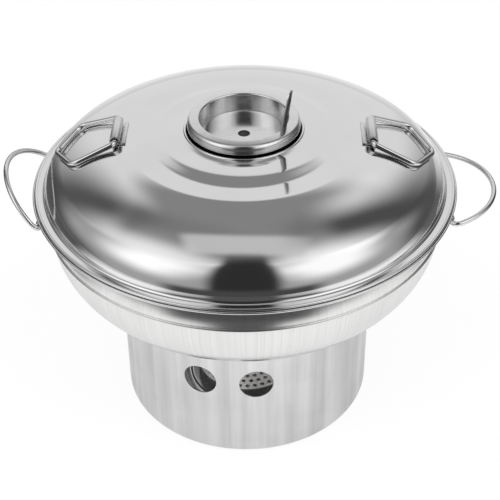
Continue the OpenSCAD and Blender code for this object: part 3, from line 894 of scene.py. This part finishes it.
@dataclass
class Lid:
    """The domed lid: hem, flange, shoulder, crown, plateau, step and a hole with a rolled lip."""

    hem: Vector
    flange: float = 182.435
    hem_radius: float = 1.1
    dome_foot: float = 141.9
    plateau_radius: float = 82.0
    plateau_rise: float = 36.0
    crown_slope: float = 8.5
    shoulder_slope: float = 30.0
    foot_slope: float = 80.0
    foot_round: float = 2.2
    plateau_crown: float = 0.7
    step_foot: float = 67.0
    step_run: float = 8.0
    step_rise: float = 2.3
    ring_slope: float = 4.0
    flare_from: float = 47.0
    flare_to: float = 42.0
    flare_slope: float = 15.0
    flare_steps: int = 8
    lip_radius: float = 1.1

    def dome(self) -> tuple[Vector, float, Vector, float]:
        """The crown's and the shoulder's centre and radius, worked out from the slopes."""
        steep = math.radians(self.foot_slope)
        middle = math.radians(self.shoulder_slope)
        flat = math.radians(self.crown_slope)
        run = self.dome_foot - self.plateau_radius
        sin_a = math.sin(middle) - math.sin(flat)
        sin_b = math.sin(steep) - math.sin(middle)
        cos_a = math.cos(flat) - math.cos(middle)
        cos_b = math.cos(middle) - math.cos(steep)
        det = sin_a * cos_b - sin_b * cos_a
        crown = (run * cos_b - self.plateau_rise * sin_b) / det
        shoulder = (sin_a * self.plateau_rise - cos_a * run) / det
        edge = at(self.plateau_radius, self.flange + self.plateau_rise)
        crown_at = edge - crown * Vector((math.sin(flat), math.cos(flat)))
        shoulder_at = crown_at + (crown - shoulder) * Vector((math.sin(middle), math.cos(middle)))
        return crown_at, crown, shoulder_at, shoulder

    def slope_at(self, radius: float) -> float:
        """Slope of the crown at a radius."""
        crown_at, crown, _, _ = self.dome()
        return math.degrees(math.asin((radius - crown_at.x) / crown))

    def section(self) -> Outline:
        """The section of the lid, with its rolled hem and lip."""
        crown_at, crown, shoulder_at, shoulder = self.dome()
        plateau = self.flange + self.plateau_rise + self.plateau_crown
        step = at(self.step_foot - self.step_run, plateau + self.step_rise)
        ring = self.ring(step)
        lean = self.flare_slope
        hem_meets = math.degrees(math.asin(SHEET / 2 / self.hem_radius))
        lip_meets = math.degrees(math.asin(SHEET / 2 / self.lip_radius))
        foot = at(self.dome_foot, self.flange)
        rising = dome_arc(shoulder_at, shoulder, self.foot_slope, self.shoulder_slope)
        reach = self.lip_radius * math.cos(math.radians(lip_meets))
        lip = around(around(ring[-1], reach, 180 - lean), -SHEET / 2, 90 - lean)
        path = [around(self.hem, self.hem_radius, 180 - hem_meets), foot]
        path += [point for point in rising if (point - foot).length > 2 * self.foot_round]
        path += dome_arc(crown_at, crown, self.shoulder_slope, self.crown_slope)[1:]
        path += [at(self.step_foot, plateau), step] + ring
        outside = dense(eased(path, self.foot_round, 3))
        inside = dense(eased(beside(path, -SHEET), self.foot_round, 3))
        roll_in = arc(lip, self.lip_radius, lip_meets - lean, 360 - lip_meets - lean, 15)
        roll_out = arc(self.hem, self.hem_radius, hem_meets - 180, 180 - hem_meets, 15)
        return outside + roll_in[1:-1] + inside[::-1] + roll_out[1:-1]

    def ring(self, step: Vector) -> Outline:
        """The ring inside the step, from where its flare begins up to the lip."""
        rise = math.tan(math.radians(self.ring_slope))
        start = at(self.flare_from, step.y + rise * (step.x - self.flare_from))
        run = self.flare_from - self.flare_to
        bend = (math.tan(math.radians(self.flare_slope)) - rise) / (2 * run)
        inward = [run * i / self.flare_steps for i in range(self.flare_steps + 1)]
        return [start + at(-x, rise * x + bend * x ** 2) for x in inward]

    def build(self, shop: Workshop) -> None:
        """Builds and dresses the lid."""
        shell = mesh_piece("domed_lid", spun(self.section()))
        shop.hand_over(shell, POLISHED, "lid", "lid_shell")


@dataclass
class DropHandle:
    """A five-sided wire handle of the lid, with the rolled strap that it hangs in."""

    side: Side
    slope: float
    lie: float = 22.0885
    turn: float = -1.5
    wire: float = 1.9
    strap_bore: float = 2.6
    strap_length: float = 28.0
    strap_foot: float = 6.6
    side_gap: float = 0.3
    exit_half_turn: float = 40.0
    reach: float = 47.4
    half_width: float = 25.4
    point: float = 15.8
    corner_bend: float = 7.5
    hinge_bend: float = 3.5

    def hinge(self) -> Vector:
        """The place of the hinge line's middle."""
        return pivot(f"{self.side.word}_lid_handle_swing")

    def place(self) -> Matrix:
        """Puts what is made for the right side round the origin into its place."""
        flip = Matrix.Diagonal((self.side.value, 1, 1, 1))
        turn = Matrix.Rotation(math.radians(self.turn), 4, "Z")
        return Matrix.Translation(self.hinge() * MM) @ turn @ flip

    def bend_wire(self) -> bmesh.types.BMesh:
        """The wire loop, from the middle of the strap round to the middle again."""
        leave = self.strap_length / 2 + self.side_gap
        leave += self.hinge_bend * math.tan(math.radians(self.exit_half_turn))
        corner = self.reach - self.point
        corners = [
            (Vector((0, leave, 0)), self.hinge_bend),
            (Vector((corner, self.half_width, 0)), self.corner_bend),
            (Vector((self.reach, 0, 0)), self.corner_bend),
            (Vector((corner, -self.half_width, 0)), self.corner_bend),
            (Vector((0, -leave, 0)), self.hinge_bend)]
        wire = BentWire(self.wire, Vector((0, 0, 0)), Vector((0, 1, 0)))
        wire.run(corners, Vector((0, 0, 0)))
        return wire.finish(self.place() @ Matrix.Rotation(math.radians(self.lie), 4, "Y"))

    def roll_strap(self) -> bmesh.types.BMesh:
        """The strap: a foot on the lid and a roll round the wire."""
        ring = self.strap_bore + SHEET / 2
        path = [at(-self.strap_foot, -ring)] + arc(at(0, 0), ring, -90, 205, 10)
        strap = bent_strip(dense(path), self.strap_length, SHEET, 0.2)
        tilt = Matrix.Rotation(math.radians(self.slope), 4, "Y")
        bmesh.ops.transform(strap, matrix=self.place() @ tilt, verts=strap.verts)
        return closed_up(strap)

    def build(self, shop: Workshop) -> None:
        """Builds and dresses the handle and its strap."""
        word = self.side.word
        loop = mesh_piece(f"{word}_drop_wire", self.bend_wire())
        shop.hand_over(loop, WIRE, f"{word}_lid_handle", f"{word}_lid_handle")
        strap = mesh_piece(f"{word}_rolled_strap", self.roll_strap())
        shop.hand_over(strap, STRAP, "lid", f"{word}_lid_strap")


@dataclass
class Cap:
    """The damper cap: a cup with a full rolled rim, a vent hole and a lifting tab."""

    radius: float = 39.3
    floor: float = 218.7
    shoulder: tuple[float, float] = (35.7, 228.4)
    shoulder_round: float = 3.6
    edge: tuple[float, float] = (32.0, 231.34)
    edge_round: float = 1.2
    top_lean: float = 8.0
    curl: float = 226.2
    curl_round: float = 2.0
    curl_end: float = -60.0
    sheet: float = 0.8
    cup_taper: float = 1.0
    vent: float = 4.25
    tab_turn: float = -32.5
    tab_seat: float = 33.0
    tab_bend: float = 232.946
    tab_sunk: float = 2.2
    tab_foot_width: float = 9.0
    tab_tip_width: float = 4.5
    tab_length: float = 31.0
    tab_lean: float = 10.5

    def cup_section(self) -> Outline:
        """The section of the cap, from the end of its rolled rim to its vent hole."""
        under = at(self.radius - self.curl_round, self.curl)
        top = 90 - self.top_lean
        path = arc(under, self.curl_round, self.curl_end, 0, 10)
        path += arc(at(*self.shoulder), self.shoulder_round, 0, top, 6)
        path += arc(at(*self.edge), self.edge_round, top, 180, 10)
        path += [at(path[-1].x - self.cup_taper, self.floor), at(self.vent, self.floor)]
        return sheet_section(path, -self.sheet, 0.9)

    def tab_blade(self) -> bmesh.types.BMesh:
        """The tab: a foot on the rolled rim and a tapered blade that leans out, with a round tip."""
        half_foot = self.tab_foot_width / 2
        face = math.sqrt(self.tab_seat ** 2 - half_foot ** 2) - self.sheet
        lean = math.radians(self.tab_lean)
        out = Vector((math.sin(lean), math.cos(lean)))
        bend = at(face, self.tab_bend)
        tip = self.tab_tip_width / 2
        straight = self.tab_length - tip
        stations = [(bend - at(0, self.tab_sunk), half_foot), (bend, half_foot)]
        stations += [(bend + out * 1.5, half_foot * 0.98)]
        for i in range(1, 9):
            share = i / 8
            stations.append((bend + out * (straight * share), half_foot + (tip - half_foot) * share))
        for angle in (15, 30, 45, 60, 75, 86):
            turn = math.radians(angle)
            stations.append((bend + out * (straight + tip * math.sin(turn)), tip * math.cos(turn)))
        bm = bmesh.new()
        first, width = stations[0]
        ends = [bm.verts.new((first.x * MM, y * width * MM, first.y * MM)) for y in (-1, 1)]
        edge = bm.edges.new(ends)
        here = first
        for place, half in stations[1:]:
            drawn = bmesh.ops.extrude_edge_only(bm, edges=[edge])["geom"]
            verts = [g for g in drawn if isinstance(g, bmesh.types.BMVert)]
            move = place - here
            bmesh.ops.translate(bm, verts=verts, vec=(move.x * MM, 0, move.y * MM))
            bmesh.ops.scale(bm, verts=verts, vec=(1, half / width, 1))
            edge = next(g for g in drawn if isinstance(g, bmesh.types.BMEdge) and set(g.verts) == set(verts))
            here = place
            width = half
        for face_made in bm.faces:
            face_made.normal_update()
            if face_made.normal.x > 0:
                face_made.normal_flip()
        bmesh.ops.solidify(bm, geom=bm.faces[:], thickness=-self.sheet * MM)
        closed_up(bm)
        rims = [e for e in bm.edges if len(e.link_faces) == 2 and e.calc_face_angle() > math.radians(60)]
        bmesh.ops.bevel(
            bm, geom=rims, offset=0.15 * MM, offset_type="OFFSET", affect="EDGES", segments=2, profile=0.5,
            material=-1, clamp_overlap=True)
        bmesh.ops.rotate(
            bm, verts=bm.verts, cent=(0, 0, 0), matrix=Matrix.Rotation(math.radians(self.tab_turn), 3, "Z"))
        return closed_up(bm)

    def build(self, shop: Workshop) -> None:
        """Builds and dresses the cap and its tab."""
        cup = mesh_piece("damper_cup", spun(self.cup_section()))
        shop.hand_over(cup, CUP_POLISH, "cap", "chimney_cap")
        tab = mesh_piece("lifting_tab", self.tab_blade())
        shop.hand_over(tab, WIRE, "cap", "cap_tab")


@dataclass(frozen=True)
class Pane:
    """A soft-edged light or dark field of the studio, as the polished steel sees it.

    Attributes:
        what: What it is in the studio; not used.
        azimuth: Its direction, from straight behind the pot, towards the right.
        elevation: Its height above the horizon.
        half_width: Half its width, as an angle.
        half_height: Half its height, as an angle.
        soft: Width of its soft edge, as an angle.
        value: Its brightness.
    """

    what: str
    azimuth: float
    elevation: float
    half_width: float
    half_height: float
    soft: float
    value: float

    def axes(self) -> tuple[Vector, Vector, Vector]:
        """Its middle, its right and its up, as directions."""
        turn = Matrix.Rotation(math.radians(-self.azimuth), 3, "Z")
        lift = Matrix.Rotation(math.radians(self.elevation), 3, "X")
        basis = turn @ lift
        return basis @ Vector((0, 1, 0)), basis @ Vector((1, 0, 0)), basis @ Vector((0, 0, 1))

    def mask(self, graph: Graph, direction: bpy.types.NodeSocket) -> bpy.types.NodeSocket:
        """The share of the pane in a direction.

        Args:
            graph: The world's graph.
            direction: The direction looked in.

        Returns:
            A value from 0 outside the pane to 1 inside it.
        """
        middle, right, up = self.axes()
        ahead = graph.vector("DOT_PRODUCT", direction, middle).outputs["Value"]
        clear = graph.math("MAXIMUM", ahead, 0.02)
        shares = [graph.ramp(ahead, 0.0, 0.05)]
        for axis, half in ((right, self.half_width), (up, self.half_height)):
            off = graph.vector("DOT_PRODUCT", direction, axis).outputs["Value"]
            angle = graph.math("ARCTANGENT", graph.math("DIVIDE", graph.math("ABSOLUTE", off), clear))
            outer = math.radians(half + self.soft / 2)
            inner = math.radians(half - self.soft / 2)
            shares.append(graph.ramp(angle, outer, inner))
        both = graph.math("MULTIPLY", shares[1], shares[2])
        return graph.math("MULTIPLY", both, shares[0])


@dataclass
class Studio:
    """A white room with a pale floor, two soft lamps, a fill lamp and the fields that steel mirrors."""

    distance: float = 932.2
    elevation: float = 37.92
    target_height: float = 100.0
    roll: float = -0.795
    lens: float = 89.13
    frame_width: float = 500.0
    target_left: float = 4.13
    target_down: float = 18.23
    floor_size: float = 12.0
    floor_glow: float = 1.03
    lens_share: float = 0.85
    mirror_share: float = 0.4
    lamp_size: float = 1.3
    lamp_energy: float = 14.0
    lamp_direction: tuple[float, float, float] = (0.52, -0.30, 0.80)
    lamp_reach: float = 1.7
    lamp_aim: tuple[float, float, float] = (0, 0, 0.1)
    mirror_height: float = 185.0
    white_floor: tuple[float, float] = (0.38, 0.58)
    dark_below: float = 0.2
    surround: float = 0.41
    ambient: float = 0.55
    inner_energy: float = 0.02
    inner_size: float = 80.0
    inner_place: tuple[float, float, float] = (0, 50, 82)
    inner_aim: tuple[float, float, float] = (0, -20, 10)
    panes: tuple[Pane, ...] = (
        Pane("white back wall and ceiling", -8, 46, 42, 58, 15, 0.82),
        Pane("grey field over the pot", 11, 65.5, 25.5, 18.5, 10, 0.27),
        Pane("dark edge of the left ceiling", -52, 75.5, 9.5, 25, 10, 0.23),
        Pane("upper edge of the right softbox", 86, 55.5, 33, 11.5, 19, 1.32),
        Pane("small light overhead", 5.5, 85, 17.5, 6.5, 4, 0.61),
        Pane("dark card, left", -48.5, -10, 14, 67, 26, 0.10),
        Pane("dark card, right", 57.5, 34, 11.5, 36, 20, 0.08),
        Pane("softbox, left", -114.5, 46, 19.5, 21.5, 30, 1.26),
        Pane("softbox, right", 124, 46, 19, 22.5, 30, 1.21),
        Pane("dark room behind the camera", 181, 15, 18.5, 72, 9, 0.03),
        Pane("dark front, low", 182, 1, 40, 13, 14, 0.07),
        Pane("dark room, low left", -64.5, -9, 34, 17, 30, 0.07),
        Pane("dark room, low right", 66.5, -9.5, 23, 30, 30, 0.09),
    )

    def build(self) -> None:
        """Builds the floor, the lamps, the world and the camera."""
        bpy.context.scene.view_settings.view_transform = "Standard"
        self.build_floor()
        self.build_lamps()
        self.build_inner_lamp()
        self.build_world()
        self.build_camera()

    def build_floor(self) -> None:
        """Lays the pale floor, which stays white to the lens and keeps the pot's shadow."""
        bm = bmesh.new()
        bmesh.ops.create_grid(bm, x_segments=1, y_segments=1, size=self.floor_size / 2)
        bmesh.ops.translate(bm, verts=bm.verts, vec=(0, 0, -0.2 * MM))
        floor = mesh_piece("pale_floor", bm)
        material = bpy.data.materials.new("pale_floor")
        material.use_nodes = True
        graph = Graph(material.node_tree)
        lit = graph.add("BsdfDiffuse", {"Color": (0.86, 0.86, 0.86, 1)})
        glow = graph.add("Emission", {"Color": (1, 1, 1, 1)})
        path = graph.add("LightPath").outputs
        seen = graph.math("MAXIMUM", path["Is Glossy Ray"], path["Is Transmission Ray"])
        field = self.floor_field(graph)
        dark = graph.math("SUBTRACT", 1.0, field)
        to_lens = graph.math("MULTIPLY", path["Is Camera Ray"], self.lens_share)
        shaded = graph.math("MULTIPLY_ADD", dark, 1 - self.mirror_share, self.mirror_share)
        mirrored = graph.math("MULTIPLY", seen, shaded)
        share = graph.math("MAXIMUM", to_lens, mirrored)
        change = graph.math("SUBTRACT", field, self.floor_glow)
        strength = graph.math("MULTIPLY_ADD", seen, change, self.floor_glow)
        graph.tree.links.new(strength, glow.inputs["Strength"])
        mix = graph.add("MixShader", {0: share, 1: lit.outputs[0], 2: glow.outputs[0]})
        out = graph.add("OutputMaterial")
        graph.tree.links.new(mix.outputs[0], out.inputs["Surface"])
        floor.data.materials.append(material)

    def floor_field(self, graph: Graph) -> bpy.types.NodeSocket:
        """The floor's brightness in the steel: white near the pot, and the room's dark fields further out."""
        place = graph.add("NewGeometry").outputs["Position"]
        mirror = (0.0, 0.0, self.mirror_height * MM)
        direction = graph.vector("NORMALIZE", graph.vector("SUBTRACT", place, mirror).outputs[0]).outputs[0]
        far = graph.ramp(graph.vector("LENGTH", place).outputs["Value"], *self.white_floor)
        level = 1.0
        for pane in self.panes:
            if pane.value < self.dark_below:
                share = graph.math("MULTIPLY", pane.mask(graph, direction), far)
                level = graph.blend(share, level, pane.value)
        return level

    def build_lamps(self) -> None:
        """Hangs the two soft lamps at the front left and front right."""
        for side in Side:
            light = bpy.data.lights.new(f"{side.word}_soft_lamp", "AREA")
            light.shape = "RECTANGLE"
            light.size = self.lamp_size
            light.size_y = self.lamp_size
            light.energy = self.lamp_energy
            lamp = bpy.data.objects.new(light.name, light)
            across, along, up = self.lamp_direction
            place = Vector((across * side.value, along, up)) * self.lamp_reach
            lamp.location = place
            lamp.rotation_euler = (place - Vector(self.lamp_aim)).to_track_quat("Z", "Y").to_euler()
            lamp.visible_glossy = False
            bpy.context.scene.collection.objects.link(lamp)

    def build_inner_lamp(self) -> None:
        """Hangs a small fill lamp in the stand, for the light that bounces in through its air holes."""
        light = bpy.data.lights.new("stand_fill_lamp", "AREA")
        light.shape = "DISK"
        light.size = self.inner_size * MM
        light.energy = self.inner_energy
        lamp = bpy.data.objects.new(light.name, light)
        place = Vector(self.inner_place) * MM
        burner = Vector(self.inner_aim) * MM
        lamp.location = place
        lamp.rotation_euler = (place - burner).to_track_quat("Z", "Y").to_euler()
        bpy.context.scene.collection.objects.link(lamp)

    def build_world(self) -> None:
        """Makes the white room: white to the lens, with its fields in the steel's reflections."""
        world = bpy.data.worlds.new("white_studio")
        bpy.context.scene.world = world
        world.use_nodes = True
        graph = Graph(world.node_tree)
        direction = graph.add("TexCoord").outputs["Generated"]
        level = self.surround
        for pane in self.panes:
            level = graph.blend(pane.mask(graph, direction), level, pane.value)
        path = graph.add("LightPath").outputs
        mirrored = graph.math("MAXIMUM", path["Is Glossy Ray"], path["Is Transmission Ray"])
        soft = graph.math("MULTIPLY_ADD", path["Is Camera Ray"], 1.0 - self.ambient, self.ambient)
        kept = graph.math("MULTIPLY", soft, graph.math("SUBTRACT", 1.0, mirrored))
        strength = graph.math("MULTIPLY_ADD", level, mirrored, kept)
        back = graph.add("Background", {"Color": (1, 1, 1, 1), "Strength": strength})
        out = graph.add("OutputWorld")
        graph.tree.links.new(back.outputs[0], out.inputs["Surface"])

    def build_camera(self) -> None:
        """Sets the camera at the photograph's angle."""
        data = bpy.data.cameras.new("photo_camera")
        data.sensor_width = 36.0
        data.lens = self.lens
        data.clip_start = 0.05
        data.shift_x = self.target_left / self.frame_width
        data.shift_y = self.target_down / self.frame_width
        camera = bpy.data.objects.new("photo_camera", data)
        rise = math.radians(self.elevation)
        back = Vector((0, -math.cos(rise), math.sin(rise)))
        level_up = Vector((0, math.sin(rise), math.cos(rise)))
        turn = math.radians(self.roll)
        right = Vector((1, 0, 0)) * math.cos(turn) + level_up * math.sin(turn)
        up = level_up * math.cos(turn) - Vector((1, 0, 0)) * math.sin(turn)
        basis = Matrix((right, up, back)).transposed().to_4x4()
        target = Vector((0, 0, self.target_height))
        camera.matrix_world = Matrix.Translation((target + back * self.distance) * MM) @ basis
        bpy.context.scene.collection.objects.link(camera)
        bpy.context.scene.camera = camera


def main() -> None:
    """Builds the pot's pieces in order, then the studio."""
    logging.basicConfig(level=logging.INFO, format="%(message)s")
    shop = Workshop()
    pot = Pot()
    lid = Lid(hem=at(147.4, 181.935))
    cap = Cap()
    slope = lid.slope_at(pivot("right_lid_handle_swing").xy.length)
    parts = [
        FireStand(), Burner(), pot,
        SideHandle(Side.LEFT, 45.0, pot), SideHandle(Side.RIGHT, 4.5, pot),
        lid, DropHandle(Side.LEFT, slope), DropHandle(Side.RIGHT, slope), cap]
    for part in parts:
        part.build(shop)
    Studio().build()


if __name__ == "__main__":
    main()
